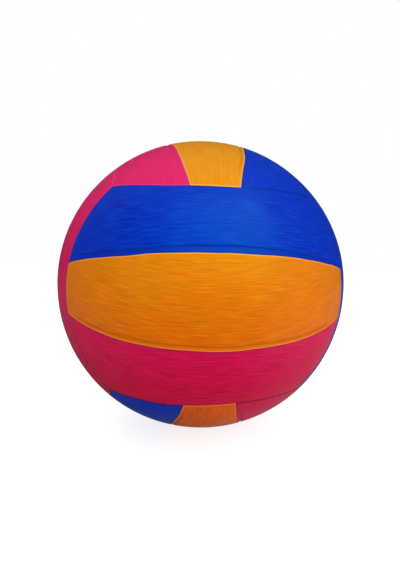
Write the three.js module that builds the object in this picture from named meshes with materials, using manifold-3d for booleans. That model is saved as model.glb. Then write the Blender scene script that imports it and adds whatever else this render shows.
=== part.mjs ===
// A moulded rubber water polo ball: eighteen strips bonded over a carcass, a thread winding and a bladder,
// with a needle valve. Millimetres, +Z up, the origin at the ball's centre.
// The front face looks along -Y, and the valve opens along +Y in the middle of the back face.

import * as THREE from "three";
import { mergeVertices } from "three/addons/utils/BufferGeometryUtils.js";
import Module from "manifold-3d";

const wasm = await Module();
wasm.setup();

// The ball and its layers, from the outside in
const BALL_DIAMETER = 210;
const COVER_THICKNESS = 1.4;
const CARCASS_THICKNESS = 0.5;
const WINDING_THICKNESS = 0.5;
const BLADDER_THICKNESS = 0.6;
const LAYER_GAP = 0.3; // bond line between one layer and the next

// The strips of the cover
const MIDDLE_STRIP_WIDTH = 51; // along the surface, at the middle of a face
const SEAM_GAP = 0.3; // bond line between neighbouring strips
const GROOVE_LAND = 2; // flat rubber between a seam inside a face and the moulded groove beside it
const GROOVE_WIDTH = 2.2;
const GROOVE_DEPTH = 0.45;

// The valve: a soft plug in a housing that is bonded to the bladder
const MOUTH_RECESS = 0.6; // the housing's mouth lies this far below the ball's round
const PLUG_INSET = 0.3; // the plug's face lies this far inside the mouth
const PLUG_LENGTH = 17;
const PLUG_DIAMETER = 5;
const PLUG_HEAD_LIP = 1.3; // how far the head stands out past the shank
const PLUG_HEAD_THICKNESS = 1.8;
const PLUG_TIP_LENGTH = 2.5;
const PLUG_TIP_TAPER = 0.9; // how much the tip's radius shrinks
const NEEDLE_CHANNEL_DIAMETER = 1.8;
const NEEDLE_CHANNEL_DEPTH = 11; // the slit below the channel is closed at rest, so it isn't cut
const NECK_WALL = 1.4; // rubber around the plug's head
const BOSS_WALL = 2; // rubber around the plug's shank, inside the bladder
const BOSS_OVERRUN = 1; // how far the boss reaches past the plug's tip
const FLANGE_WIDTH = 10.5; // from the neck to the flange's rim
const FLANGE_THICKNESS = 1.2;
const VALVE_CLEARANCE = 0.3;

// How finely round shapes are divided
const STEPS_ALONG_STRIP = 14;
const STEPS_ACROSS_STRIP = 5;
const SPHERE_DETAIL = 5;
const TURN_STEPS = 32;
const FLANGE_STEPS = 3;

// Three faces meet at the corners of a cube inside the ball, so each face ends at this height
const BALL_RADIUS = BALL_DIAMETER / 2;
const FACE_EDGE = BALL_RADIUS / Math.sqrt(3);
const SEAM_TILT = MIDDLE_STRIP_WIDTH / 2 / BALL_RADIUS;
const HALF_SEAM = SEAM_GAP / 2;

const BLUE = rubber("#0f42c2", 0.45);
const ORANGE = rubber("#e08a12", 0.45);
const MAGENTA = rubber("#c41c55", 0.45);
const CARCASS_BLACK = rubber("#2a2a2c", 0.8);
const THREAD_WHITE = rubber("#e6e1d4", 0.9);
const BUTYL_BLACK = rubber("#19191b", 0.6);
const VALVE_BLACK = rubber("#222224", 0.55);
const PLUG_GREY = rubber("#55565a", 0.5);

function rubber(color, roughness) {
  return new THREE.MeshStandardMaterial({ color, roughness, metalness: 0 });
}

function part(name, geometry, material) {
  const mesh = new THREE.Mesh(geometry, material);
  mesh.name = name;
  return mesh;
}

// A closed geometry as a solid that can be cut
function solid(geometry) {
  const bare = geometry.clone();
  bare.deleteAttribute("normal");
  bare.deleteAttribute("uv");
  const merged = mergeVertices(bare, 1e-3);
  const vertProperties = new Float32Array(merged.attributes.position.array);
  const triVerts = new Uint32Array(merged.index.array);
  return new wasm.Manifold(new wasm.Mesh({ numProp: 3, vertProperties, triVerts }));
}

// A cut solid as a geometry again
function shape(made) {
  const { vertProperties, triVerts } = made.getMesh();
  const geometry = new THREE.BufferGeometry();
  geometry.setAttribute("position", new THREE.BufferAttribute(vertProperties, 3));
  geometry.setIndex(new THREE.BufferAttribute(triVerts, 1));
  return geometry;
}

// The least distance from the origin to the facets of a surface around it
function nearestFacet(points, triangles) {
  const plane = new THREE.Plane();
  let nearest = Infinity;
  for (let i = 0; i < triangles.length; i += 3) {
    const [a, b, c] = triangles.slice(i, i + 3).map((index) => points[index]);
    plane.setFromCoplanarPoints(a, b, c);
    nearest = Math.min(nearest, Math.abs(plane.constant));
  }
  return nearest;
}

// A seam is cut by a plane that holds its strip's long direction: the two seams inside a face lean through
// the ball's centre, and the face's outer edges are parallel to its mid plane at a fixed offset.
const OUTER_LOW = { tilt: 0, offset: HALF_SEAM - FACE_EDGE };
const LOW_SEAM_UNDER = { tilt: -SEAM_TILT, offset: -HALF_SEAM };
const LOW_SEAM_OVER = { tilt: -SEAM_TILT, offset: HALF_SEAM };
const HIGH_SEAM_UNDER = { tilt: SEAM_TILT, offset: -HALF_SEAM };
const HIGH_SEAM_OVER = { tilt: SEAM_TILT, offset: HALF_SEAM };
const OUTER_HIGH = { tilt: 0, offset: FACE_EDGE - HALF_SEAM };

// Point of the front face's strip between two edges: along runs -1 to 1, across 0 to 1
function stripPoint(edges, along, across, radius) {
  const [low, high] = edges;
  const tilt = THREE.MathUtils.lerp(low.tilt, high.tilt, across);
  const level = Math.asin(THREE.MathUtils.lerp(low.offset, high.offset, across) / radius);
  const endDepth = (FACE_EDGE + HALF_SEAM) / radius;
  const reach = Math.cos(level) * Math.cos(tilt);
  const turn = along * Math.acos((endDepth + Math.sin(tilt) * Math.sin(level)) / reach);
  const x = Math.cos(level) * Math.sin(turn);
  const y = Math.sin(tilt) * Math.sin(level) - reach * Math.cos(turn);
  const z = Math.cos(tilt) * Math.sin(level) + Math.cos(level) * Math.sin(tilt) * Math.cos(turn);
  return new THREE.Vector3(x, y, z).multiplyScalar(radius);
}

// Rows across a strip, as places from 0 to 1 with the depth of rubber missing there
function stripRows(edges, grooved) {
  const [low, high] = edges.map(({ tilt, offset }) => tilt + Math.asin(offset / BALL_RADIUS));
  const width = BALL_RADIUS * (high - low);
  const rows = [{ across: 0, depth: 0 }];
  let start = 0;
  if (grooved) {
    const middle = GROOVE_LAND + GROOVE_WIDTH / 2;
    start = (GROOVE_LAND + GROOVE_WIDTH) / width;
    rows.push({ across: GROOVE_LAND / width, depth: 0 });
    rows.push({ across: middle / width, depth: GROOVE_DEPTH });
    rows.push({ across: start, depth: 0 });
  }
  for (let step = 1; step <= STEPS_ACROSS_STRIP; step++) {
    const across = THREE.MathUtils.lerp(start, 1, step / STEPS_ACROSS_STRIP);
    rows.push({ across, depth: 0 });
  }
  return rows;
}

// Corner numbers around a grid, in the turning sense of its outward faces
function gridRim(columns, rows) {
  const rim = [];
  for (let column = 0; column < columns - 1; column++) rim.push(column);
  for (let row = 0; row < rows - 1; row++) rim.push(row * columns + columns - 1);
  for (let column = columns - 1; column > 0; column--) rim.push((rows - 1) * columns + column);
  for (let row = rows - 1; row > 0; row--) rim.push(row * columns);
  return rim;
}

// One strip of the front face, with the radius that clears the facets of its inner side
function strip(edges, grooved) {
  const rows = stripRows(edges, grooved);
  const columns = STEPS_ALONG_STRIP + 1;
  const outer = [];
  const inner = [];
  for (const { across, depth } of rows) {
    for (let column = 0; column < columns; column++) {
      const along = (2 * column) / STEPS_ALONG_STRIP - 1;
      const skin = stripPoint(edges, along, across, BALL_RADIUS);
      outer.push(skin.multiplyScalar(1 - depth / BALL_RADIUS));
      inner.push(stripPoint(edges, along, across, BALL_RADIUS - COVER_THICKNESS));
    }
  }
  const outside = [];
  const inside = [];
  const back = outer.length;
  for (let row = 0; row < rows.length - 1; row++) {
    for (let column = 0; column < columns - 1; column++) {
      const a = row * columns + column;
      const [b, c, d] = [a + 1, a + 1 + columns, a + columns];
      outside.push(a, b, c, a, c, d);
      inside.push(a, c, b, a, d, c);
    }
  }
  const walls = [];
  const rim = gridRim(columns, rows.length);
  rim.forEach((corner, index) => {
    const next = rim[(index + 1) % rim.length];
    walls.push(next, corner, corner + back, next, corner + back, next + back);
  });
  const geometry = new THREE.BufferGeometry().setFromPoints([...outer, ...inner]);
  geometry.setIndex([...outside, ...inside.map((corner) => corner + back), ...walls]);
  geometry.computeVertexNormals();
  return { geometry, seat: nearestFacet(inner, inside) };
}

// A straight hole from the middle of the ball out through the valve's place
function valveHole(radius) {
  const length = 2 * BALL_RADIUS;
  const hole = new THREE.CylinderGeometry(radius, radius, length, TURN_STEPS);
  return solid(hole.translate(0, length / 2, 0));
}

function ballSolid(radius) {
  return solid(new THREE.IcosahedronGeometry(radius, SPHERE_DETAIL));
}

// A hollow layer with the valve's hole through it
function layer(outerRadius, thickness) {
  const wall = ballSolid(outerRadius).subtract(ballSolid(outerRadius - thickness));
  return shape(wall.subtract(valveHole(NECK_RADIUS + VALVE_CLEARANCE)));
}

// Height above the centre of a sphere's surface at a distance from the valve's axis
function capHeight(sphereRadius, distance) {
  return Math.sqrt(sphereRadius ** 2 - distance ** 2);
}

// Points along a sphere's surface, from one distance from the valve's axis to another
function capArc(sphereRadius, from, to) {
  const points = [];
  for (let step = 0; step <= FLANGE_STEPS; step++) {
    const distance = THREE.MathUtils.lerp(from, to, step / FLANGE_STEPS);
    points.push(new THREE.Vector2(distance, capHeight(sphereRadius, distance)));
  }
  return points;
}

// The valve's radii and heights along its axis
const PLUG_RADIUS = PLUG_DIAMETER / 2;
const HEAD_RADIUS = PLUG_RADIUS + PLUG_HEAD_LIP;
const BORE_RADIUS = PLUG_RADIUS + VALVE_CLEARANCE;
const SOCKET_RADIUS = HEAD_RADIUS + VALVE_CLEARANCE;
const NECK_RADIUS = SOCKET_RADIUS + NECK_WALL;
const BOSS_RADIUS = BORE_RADIUS + BOSS_WALL;
const MOUTH_HEIGHT = BALL_RADIUS - MOUTH_RECESS;
const PLUG_FACE_HEIGHT = MOUTH_HEIGHT - PLUG_INSET;
const HEAD_UNDERSIDE_HEIGHT = PLUG_FACE_HEIGHT - PLUG_HEAD_THICKNESS;
const SOCKET_FLOOR_HEIGHT = HEAD_UNDERSIDE_HEIGHT - VALVE_CLEARANCE;
const PLUG_TIP_HEIGHT = PLUG_FACE_HEIGHT - PLUG_LENGTH;
const BOSS_END_HEIGHT = PLUG_TIP_HEIGHT - BOSS_OVERRUN;

function valveHousing(flangeTop) {
  const rim = NECK_RADIUS + FLANGE_WIDTH;
  const profile = [
    new THREE.Vector2(BORE_RADIUS, BOSS_END_HEIGHT),
    new THREE.Vector2(BOSS_RADIUS, BOSS_END_HEIGHT),
    ...capArc(flangeTop - FLANGE_THICKNESS, BOSS_RADIUS, rim),
    ...capArc(flangeTop, rim, NECK_RADIUS),
    new THREE.Vector2(NECK_RADIUS, MOUTH_HEIGHT),
    new THREE.Vector2(SOCKET_RADIUS, MOUTH_HEIGHT),
    new THREE.Vector2(SOCKET_RADIUS, SOCKET_FLOOR_HEIGHT),
    new THREE.Vector2(BORE_RADIUS, SOCKET_FLOOR_HEIGHT),
    new THREE.Vector2(BORE_RADIUS, BOSS_END_HEIGHT),
  ];
  return new THREE.LatheGeometry(profile, TURN_STEPS);
}

function valvePlug() {
  const channel = NEEDLE_CHANNEL_DIAMETER / 2;
  const profile = [
    new THREE.Vector2(0, PLUG_TIP_HEIGHT),
    new THREE.Vector2(PLUG_RADIUS - PLUG_TIP_TAPER, PLUG_TIP_HEIGHT),
    new THREE.Vector2(PLUG_RADIUS, PLUG_TIP_HEIGHT + PLUG_TIP_LENGTH),
    new THREE.Vector2(PLUG_RADIUS, HEAD_UNDERSIDE_HEIGHT),
    new THREE.Vector2(HEAD_RADIUS, HEAD_UNDERSIDE_HEIGHT),
    new THREE.Vector2(HEAD_RADIUS, PLUG_FACE_HEIGHT),
    new THREE.Vector2(channel, PLUG_FACE_HEIGHT),
    new THREE.Vector2(channel, PLUG_FACE_HEIGHT - NEEDLE_CHANNEL_DEPTH),
    new THREE.Vector2(0, PLUG_FACE_HEIGHT - NEEDLE_CHANNEL_DEPTH),
  ];
  return new THREE.LatheGeometry(profile, TURN_STEPS);
}

// The three strips of a face, lowest first, and the six faces that they cover.
// A face's strips run along its first direction and lie side by side along its last.
const STRIPS = [
  strip([OUTER_LOW, LOW_SEAM_UNDER], false),
  strip([LOW_SEAM_OVER, HIGH_SEAM_UNDER], true),
  strip([HIGH_SEAM_OVER, OUTER_HIGH], true),
];
const [X, Y, Z] = [new THREE.Vector3(1, 0, 0), new THREE.Vector3(0, 1, 0), new THREE.Vector3(0, 0, 1)];
const back = (axis) => axis.clone().negate();
const FACES = [
  { face: "front", axes: [X, Y, Z], strips: { lower: MAGENTA, middle: ORANGE, upper: BLUE } },
  { face: "back", axes: [back(X), back(Y), Z], strips: { lower: BLUE, middle: ORANGE, upper: MAGENTA } },
  { face: "top", axes: [Y, back(Z), back(X)], strips: { right: BLUE, middle: ORANGE, left: MAGENTA } },
  { face: "bottom", axes: [Y, Z, X], strips: { left: BLUE, middle: ORANGE, right: MAGENTA } },
  { face: "left", axes: [Z, X, Y], strips: { front: MAGENTA, middle: ORANGE, rear: BLUE } },
  { face: "right", axes: [Z, back(X), back(Y)], strips: { rear: MAGENTA, middle: ORANGE, front: BLUE } },
];
const VALVE_PANEL = "back_middle_panel";

const ball = new THREE.Group();
for (const { face, axes, strips } of FACES) {
  const turned = new THREE.Group();
  const turn = new THREE.Matrix4().makeBasis(...axes);
  turned.setRotationFromMatrix(turn);
  Object.entries(strips).forEach(([place, material], index) => {
    const name = `${face}_${place}_panel`;
    let { geometry } = STRIPS[index];
    if (name === VALVE_PANEL) {
      const hole = valveHole(NECK_RADIUS + VALVE_CLEARANCE).transform(turn.clone().invert().elements);
      geometry = shape(solid(geometry).subtract(hole));
    }
    turned.add(part(name, geometry, material));
  });
  ball.add(turned);
}

// The layers below the cover, each one bond line inside the last
const carcassRadius = Math.min(...STRIPS.map(({ seat }) => seat)) - LAYER_GAP;
const windingRadius = carcassRadius - CARCASS_THICKNESS - LAYER_GAP;
const bladderRadius = windingRadius - WINDING_THICKNESS - LAYER_GAP;
const bladderInside = new THREE.IcosahedronGeometry(bladderRadius - BLADDER_THICKNESS, SPHERE_DETAIL);
const insidePoints = [];
for (let corner = 0; corner < bladderInside.attributes.position.count; corner++) {
  insidePoints.push(new THREE.Vector3().fromBufferAttribute(bladderInside.attributes.position, corner));
}
const flangeTop = nearestFacet(insidePoints, [...insidePoints.keys()]) - LAYER_GAP;

ball.add(part("carcass", layer(carcassRadius, CARCASS_THICKNESS), CARCASS_BLACK));
ball.add(part("thread_winding", layer(windingRadius, WINDING_THICKNESS), THREAD_WHITE));
ball.add(part("bladder", layer(bladderRadius, BLADDER_THICKNESS), BUTYL_BLACK));
ball.add(part("valve_housing", valveHousing(flangeTop), VALVE_BLACK));
ball.add(part("valve_plug", valvePlug(), PLUG_GREY));

export default ball;
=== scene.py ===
# %% [markdown]
# # A moulded rubber ball, strip by strip
# This lesson dresses a water polo ball. Eighteen coloured rubber strips lie over a carcass, a thread
# winding and a bladder, and a needle valve comes out through the middle of the back. The construction is
# there already as plain solids, so every piece made here goes exactly where its solid is, in metres.

# %% Load the construction
import math
from functools import partial

import bmesh
import bpy
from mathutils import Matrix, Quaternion, Vector


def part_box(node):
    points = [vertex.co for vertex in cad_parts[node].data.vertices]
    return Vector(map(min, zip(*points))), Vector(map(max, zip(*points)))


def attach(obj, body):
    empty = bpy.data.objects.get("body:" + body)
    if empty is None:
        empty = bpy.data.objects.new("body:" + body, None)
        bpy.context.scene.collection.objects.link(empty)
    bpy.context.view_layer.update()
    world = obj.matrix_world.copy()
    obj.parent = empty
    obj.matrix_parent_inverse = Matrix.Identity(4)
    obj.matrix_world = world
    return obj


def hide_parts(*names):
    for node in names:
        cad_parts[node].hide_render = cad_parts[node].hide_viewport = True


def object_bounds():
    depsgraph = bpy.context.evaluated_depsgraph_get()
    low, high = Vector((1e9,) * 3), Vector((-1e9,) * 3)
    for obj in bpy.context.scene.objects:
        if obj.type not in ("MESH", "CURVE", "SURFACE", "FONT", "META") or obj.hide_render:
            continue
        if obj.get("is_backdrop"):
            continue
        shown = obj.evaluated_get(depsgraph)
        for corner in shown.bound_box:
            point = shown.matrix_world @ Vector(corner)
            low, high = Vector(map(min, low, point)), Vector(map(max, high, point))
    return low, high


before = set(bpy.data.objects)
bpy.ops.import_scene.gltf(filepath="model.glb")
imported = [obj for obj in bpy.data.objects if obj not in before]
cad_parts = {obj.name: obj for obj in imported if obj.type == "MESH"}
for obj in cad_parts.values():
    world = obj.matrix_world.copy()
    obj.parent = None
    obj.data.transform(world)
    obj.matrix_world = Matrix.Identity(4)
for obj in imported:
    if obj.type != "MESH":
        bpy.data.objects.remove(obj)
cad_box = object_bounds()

# %% [markdown]
# ## Sizes
# The ball's radius, the thickness of its cover and the slope of its seams could be typed in again, but
# then they could drift away from the construction. They are measured on the middle strip of the front
# face instead. Three faces meet at the corners of a cube inside the ball, which gives the height of a
# face's edge.

# %% Measure the ball
MM = 0.001
CAD_BOND_LINE = 0.3 * MM # gap between neighbouring strips in the construction
reaches = [corner.co.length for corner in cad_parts["front_middle_panel"].data.vertices]
ball_radius = max(reaches)
cover_thickness = ball_radius - min(reaches)
middle_strip_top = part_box("front_middle_panel")[1].z
seam_tilt = math.asin(middle_strip_top / ball_radius) + CAD_BOND_LINE / 2 / ball_radius
face_edge = ball_radius / math.sqrt(3)
print(f"radius {ball_radius / MM:.2f} mm, cover {cover_thickness / MM:.2f} mm,",
      f"seam tilt {math.degrees(seam_tilt):.2f} degrees")

# %% [markdown]
# ## Three helpers
# Materials and Geometry Nodes are both trees of nodes. One small function adds a node, makes its settings,
# links or sets its inputs, which are named or listed in order, and hands back the output that is needed next.
# Another starts a material with an empty tree. Colours are written as sRGB hex values, as they are picked
# from a picture, and one function turns them into the linear values that Blender works with.

# %% Nodes and colours
# The kinds of node that come up most
MATH = "ShaderNodeMath"
VECTOR_MATH = "ShaderNodeVectorMath"
RANGE = "ShaderNodeMapRange"
NOISE = "ShaderNodeTexNoise"
MIX = "ShaderNodeMix"
BLEND = {"data_type": "RGBA", "output": 2} # makes a Mix node blend colours


def add_node(tree, kind, inputs=(), operation=None, output=0, **settings):
    """Adds a node with its settings and links, and gives one of its outputs, or all where that is None."""
    node = tree.nodes.new(kind)
    if operation:
        node.operation = operation
    for name, value in settings.items():
        setattr(node, name, value)
    for socket, value in inputs.items() if isinstance(inputs, dict) else enumerate(inputs):
        if isinstance(value, bpy.types.NodeSocket):
            tree.links.new(value, node.inputs[socket])
        else:
            node.inputs[socket].default_value = value
    return node.outputs if output is None else node.outputs[output]


def new_material(name):
    """A material with an empty tree, and a function that adds nodes to it."""
    material = bpy.data.materials.new(name)
    material.use_nodes = True
    material.node_tree.nodes.clear()
    return material, partial(add_node, material.node_tree)


def linear(hex_colour):
    """An sRGB hex colour as linear red, green, blue and alpha."""
    shares = [int(hex_colour[place:place + 2], 16) / 255 for place in (1, 3, 5)]
    return [s / 12.92 if s <= 0.04045 else ((s + 0.055) / 1.055) ** 2.4 for s in shares] + [1]


print("mid grey is", [round(share, 3) for share in linear("#808080")[:3]], "in linear light")

# %% [markdown]
# ## Pigmented rubber, pressed in a mould
# The cover is soft natural rubber, coloured right through and cured in a mould. It gives the eye a satin
# surface: deep colour, a broad soft highlight, and fine wrinkles that run along each strip like the grain
# of wood. The wrinkles are real geometry further down. Each strip carries their height as an attribute, so
# that the finish can paint shade into the creases and light onto the ridges, and its own coordinates in
# millimetres, so that every pattern follows it. Between the wrinkles the mould leaves streaks that are too
# fine to show. They are drawn coarser here, and mostly as painted shade and painted glints in the colour,
# because a bump as strong as that would glitter at the ball's edge.

# %% Fine streaks
STREAK_PITCH = 0.45 # mm across the strip, coarser than the real streaks, which are too fine to show
STREAK_LENGTH = 14 # mm along the strip
NO_STREAK = 0.5 # the middle of the noise, for a smooth margin


def fine_streaks(node):
    """The strip's coordinates, and streaks along it that die away where its skin is calm."""
    place = node("ShaderNodeAttribute", output="Vector", attribute_name="strip_mm")
    calm = node("ShaderNodeAttribute", output="Fac", attribute_name="calm")
    stretch = (1 / STREAK_LENGTH, 1 / STREAK_PITCH, 0)
    stretched = node(VECTOR_MATH, [place, stretch], "MULTIPLY")
    streaks = node(NOISE, {"Vector": stretched, "Scale": 1, "Detail": 3})
    return place, node(MIX, {0: calm, 2: streaks, 3: NO_STREAK})


print("streaks are", STREAK_LENGTH, "mm long and", STREAK_PITCH, "mm apart")

# %% [markdown]
# ### Tone and painted top light
# Pigment never mixes quite evenly, and one flat colour for each strip would look like plastic. So a tone runs
# from the creases to the ridges, as painted shade in the creases and painted light on the ridges, moved by
# slow clouds of uneven pigment and by the painted shade and light of the streaks. A second value says how far
# up the painted light from above has gone, which makes the colour lighter towards the top of the ball.

# %% Tone and painted top light
CLOUD_SIZE = 14 # mm
CLOUD_TONE = 0.04 # how far the clouds move the tone between crease and ridge
STREAK_TONE = 0.35 # how far the streaks' painted shade and light move it
TOP_LIGHT_START = -50 # mm, height on the ball where the painted light from above begins
TOP_LIGHT_END = 70 # mm


def shaded_crease_to_lit_ridge(node, place, streaks):
    """The tone of the skin, from 0 in a crease to 1 on a ridge: painted shade and light of the wrinkles and
    streaks, moved by clouds of uneven pigment.
    """
    grain = node("ShaderNodeAttribute", output="Fac", attribute_name="grain")
    clouds = node(NOISE, {"Vector": place, "Scale": 1 / CLOUD_SIZE, "Detail": 3})
    cloudy = node(RANGE, {"Value": clouds, "To Min": -CLOUD_TONE, "To Max": CLOUD_TONE})
    lines = node(RANGE, {"Value": streaks, "To Min": -STREAK_TONE, "To Max": STREAK_TONE})
    tone = node(MATH, [grain, cloudy], "ADD")
    return node(MATH, [tone, lines], "ADD", use_clamp=True)


def painted_top_light(node):
    """How far the painted light from above has gone, from 0 low on the ball to 1 near its top."""
    height = node("ShaderNodeSeparateXYZ", [node("ShaderNodeTexCoord", output="Object")], output="Z")
    return node(RANGE, {"Value": height, "From Min": TOP_LIGHT_START * MM, "From Max": TOP_LIGHT_END * MM})


# The fading is painted light from above: the colour gets lighter towards the top of the ball.
print("the cover fades from", TOP_LIGHT_START, "to", TOP_LIGHT_END, "mm")

# %% Colour of a strip
TOP_LIGHT_SHARE = 0.65 # how much of the lighter top colour shows near the top, as painted light from above
# Painted shade and light of the streaks: how bright they are, next to the colour, by their noise
PAINTED_STREAK_SHADE = {"From Min": 0.38, "From Max": 0.8, "To Min": 0.9, "To Max": 1.16}
# How much of the gloss's colour the lightest streaks take, as painted glints
PAINTED_GLINTS = {"From Min": 0.45, "From Max": 0.75, "To Max": 0.06}
# How much of its painted shade and highlight the rim shows, by the distance from the seam in mm
RIM_SHADE_AND_HIGHLIGHT = {"From Min": 0.35, "From Max": 0.8, "To Min": 0.85, "To Max": 0}


def strip_colour(node, place, streaks, tint):
    """The colour of the skin: painted shade and light of the wrinkles, then painted light from above, the
    streaks' painted shade and glints, and the painted shade and highlight of the rim at the seam.
    """
    tone = shaded_crease_to_lit_ridge(node, place, streaks)
    skin = node(MIX, {0: tone, 6: tint["crease"], 7: tint["ridge"]}, **BLEND)
    # Painted light from above: the colour turns lighter towards the top of the ball.
    light = painted_top_light(node)
    lit_share = node(MATH, [light, TOP_LIGHT_SHARE], "MULTIPLY")
    skin = node(MIX, {0: lit_share, 6: skin, 7: tint["lit top"]}, **BLEND)
    shade = node(RANGE, {"Value": streaks, **PAINTED_STREAK_SHADE})
    skin = node(VECTOR_MATH, {0: skin, "Scale": shade}, "SCALE")
    glint = node(RANGE, {"Value": streaks, **PAINTED_GLINTS})
    skin = node(MIX, {0: glint, 6: skin, 7: tint["gloss"]}, **BLEND)
    # Painted shade and highlight at the rims, lighter towards the top as painted light from above.
    rim = node(MIX, {0: light, 6: tint["low rim"], 7: tint["high rim"]}, **BLEND)
    from_seam = node("ShaderNodeSeparateXYZ", [place], output="Z")
    at_rim = node(RANGE, {"Value": from_seam, **RIM_SHADE_AND_HIGHLIGHT})
    return node(MIX, {0: at_rim, 6: skin, 7: rim}, **BLEND)


print("rims are tinted up to", RIM_SHADE_AND_HIGHLIGHT["From Max"], "mm from the seam")

# %% The finish of the cover
STREAK_ROUGHNESS = {"To Min": 0.27, "To Max": 0.33} # nearly even, which keeps the ball's edge calm
STREAK_BUMP = 0.012 # mm
SATIN = {"IOR": 1.55, "Sheen Weight": 0.03, "Sheen Roughness": 0.5} # firm gloss, and a trace of dust
# Crease and ridge colours hold the painted shade and light of the wrinkles, the top colour holds painted
# light from above, and the rims hold painted shade and highlight. The gloss also colours the painted glints.
COVER_COLOURS = { # the gloss tints the highlight and the dust
    "blue": {"crease": "#010482", "ridge": "#0118BA", "lit top": "#0328BC",
             "low rim": "#041260", "high rim": "#03209A", "gloss": "#30D6FF"},
    "orange": {"crease": "#B83800", "ridge": "#D84800", "lit top": "#E29E0C",
               "low rim": "#E27426", "high rim": "#ECA848", "gloss": "#FFFF3C"},
    "magenta": {"crease": "#A6021E", "ridge": "#C40428", "lit top": "#E8266E",
                "low rim": "#760420", "high rim": "#DC3C7C", "gloss": "#FF50F0"},
}


def cover_rubber(name, colours):
    """Moulded rubber in the colours of its shaded creases and lit ridges, of its top under painted light from
    above, of its rims with painted shade and highlight, and of its gloss.
    """
    material, node = new_material(name)
    tint = {part: linear(colour) for part, colour in colours.items()}
    place, streaks = fine_streaks(node)
    skin = strip_colour(node, place, streaks, tint)
    rough = node(RANGE, {"Value": streaks, **STREAK_ROUGHNESS})
    bump = node("ShaderNodeBump", {"Height": streaks, "Strength": 1, "Distance": STREAK_BUMP * MM})
    patterned = {"Base Color": skin, "Roughness": rough, "Normal": bump}
    even = {**SATIN, "Sheen Tint": tint["gloss"], "Specular Tint": tint["gloss"]}
    rubber = node("ShaderNodeBsdfPrincipled", {**patterned, **even})
    node("ShaderNodeOutputMaterial", {"Surface": rubber}, output=None)
    return material


COVER_FINISHES = {}
for colour, colours in COVER_COLOURS.items():
    COVER_FINISHES[f"{colour}_rubber"] = cover_rubber(f"{colour} moulded rubber", colours)
print("cover finishes:", [material.name for material in COVER_FINISHES.values()])

# %% [markdown]
# ## The rule of a strip
# Each face of the ball has three strips. The two seams between them lie in planes through the ball's
# centre, leaning up and down by the seam tilt. The face's outer edges lie in planes parallel to its mid
# plane. A strip could be modelled by hand and copied, but every point of it follows from that rule, so a
# Geometry Nodes tree makes all eighteen from one flat grid. The tree's inputs are the strip's sizes.

# %% The tree and its inputs
def new_tree(name, inputs):
    """A Geometry Nodes tree with named inputs, and the identifiers that a modifier knows them by."""
    tree = bpy.data.node_groups.new(name, "GeometryNodeTree")
    sockets = {}
    for socket_type, names in inputs.items():
        for input_name in names:
            socket = tree.interface.new_socket(input_name, in_out="INPUT", socket_type=socket_type)
            sockets[input_name] = socket.identifier
    tree.interface.new_socket("Made", in_out="OUTPUT", socket_type="NodeSocketGeometry")
    return tree, sockets


STRIP_INPUTS = {
    "NodeSocketFloat": ["Ball radius", "Low tilt", "High tilt", "Low level", "High level", "End depth",
                        "Groove place", "Near wall", "Far wall", "Groove depth", "Wrinkle pitch",
                        "Wrinkle length", "Wrinkle height", "Ripple size", "Ripple length", "Wander size",
                        "Wander length", "Unevenness", "Uneven length", "Seed"],
    "NodeSocketInt": ["Rows", "Columns"],
    "NodeSocketVector": ["Along", "Across"],
    "NodeSocketMaterial": ["Rubber"],
}
strip_tree, strip_sockets = new_tree("ball strip", STRIP_INPUTS)
strip = partial(add_node, strip_tree)
given = strip("NodeGroupInput", output=None)
print("the strip tree has", len(strip_sockets), "inputs")

# %% [markdown]
# ### From a flat grid to the ball
# The grid runs from -1 to 1 along the strip and from -0.5 to 0.5 across it. For each row, the tilt and the
# level of its plane lie between those of the two edges. The row's middle point then turns about the
# plane's own axis, as far as the plane that ends the strip. Columns sit closer together near the strip's
# ends, where the corners need them.

# %% Rows and columns
END_CROWDING = 0.45 # how much closer the columns are at the ends than on average
lattice = {"Size X": 2, "Size Y": 1, "Vertices X": given["Columns"], "Vertices Y": given["Rows"]}
grid = strip("GeometryNodeMeshGrid", lattice)
grid_place = strip("ShaderNodeSeparateXYZ", [strip("GeometryNodeInputPosition")], output=None)
swing = strip(MATH, [grid_place[0], math.pi], "MULTIPLY")
swing = strip(MATH, [swing], "SINE")
along = strip(MATH, [swing, END_CROWDING / math.pi, grid_place[0]], "MULTIPLY_ADD")
row = {"Value": grid_place[1], "From Min": -0.5, "From Max": 0.5}
tilt = strip(RANGE, {**row, "To Min": given["Low tilt"], "To Max": given["High tilt"]})
level = strip(RANGE, {**row, "To Min": given["Low level"], "To Max": given["High level"]})
print("columns crowd towards the ends by", END_CROWDING)

# %% Place on the ball
sines = {}
for name, angle in {"tilt": tilt, "level": level}.items():
    for part, operation in {"sine": "SINE", "cosine": "COSINE"}.items():
        sines[name, part] = strip(MATH, [angle], operation)
lean = strip(MATH, [sines["tilt", "sine"], sines["level", "sine"], given["End depth"]], "MULTIPLY_ADD")
reach = strip(MATH, [sines["tilt", "cosine"], sines["level", "cosine"]], "MULTIPLY")
full_turn = strip(MATH, [lean, reach], "DIVIDE")
full_turn = strip(MATH, [full_turn], "ARCCOSINE")
turn = strip(MATH, [full_turn, along], "MULTIPLY")
rise = strip(MATH, [tilt, level], "ADD")
middle_height = strip(MATH, [rise], "SINE")
middle_depth = strip(MATH, [rise], "COSINE")
middle_depth = strip(MATH, [middle_depth, -1], "MULTIPLY")
middle = strip("ShaderNodeCombineXYZ", {"Y": middle_depth, "Z": middle_height})
axis = strip("ShaderNodeCombineXYZ", {"Y": sines["tilt", "sine"], "Z": sines["tilt", "cosine"]})
turning = {"Vector": middle, "Axis": axis, "Angle": turn}
face_way = strip("ShaderNodeVectorRotate", turning, rotation_type="AXIS_ANGLE")
print("the strip tree has", len(strip_tree.nodes), "nodes so far")

# %% [markdown]
# ### Distances from the seams
# The groove beside a seam, the tint of a rim and the wrinkles all need to know how far a point is from the
# strip's edges. The angle between a point and a seam's plane is the arcsine of a dot product with that
# plane's normal. The least of the distances to the low seam, the high seam and the ends is kept too.

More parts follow.
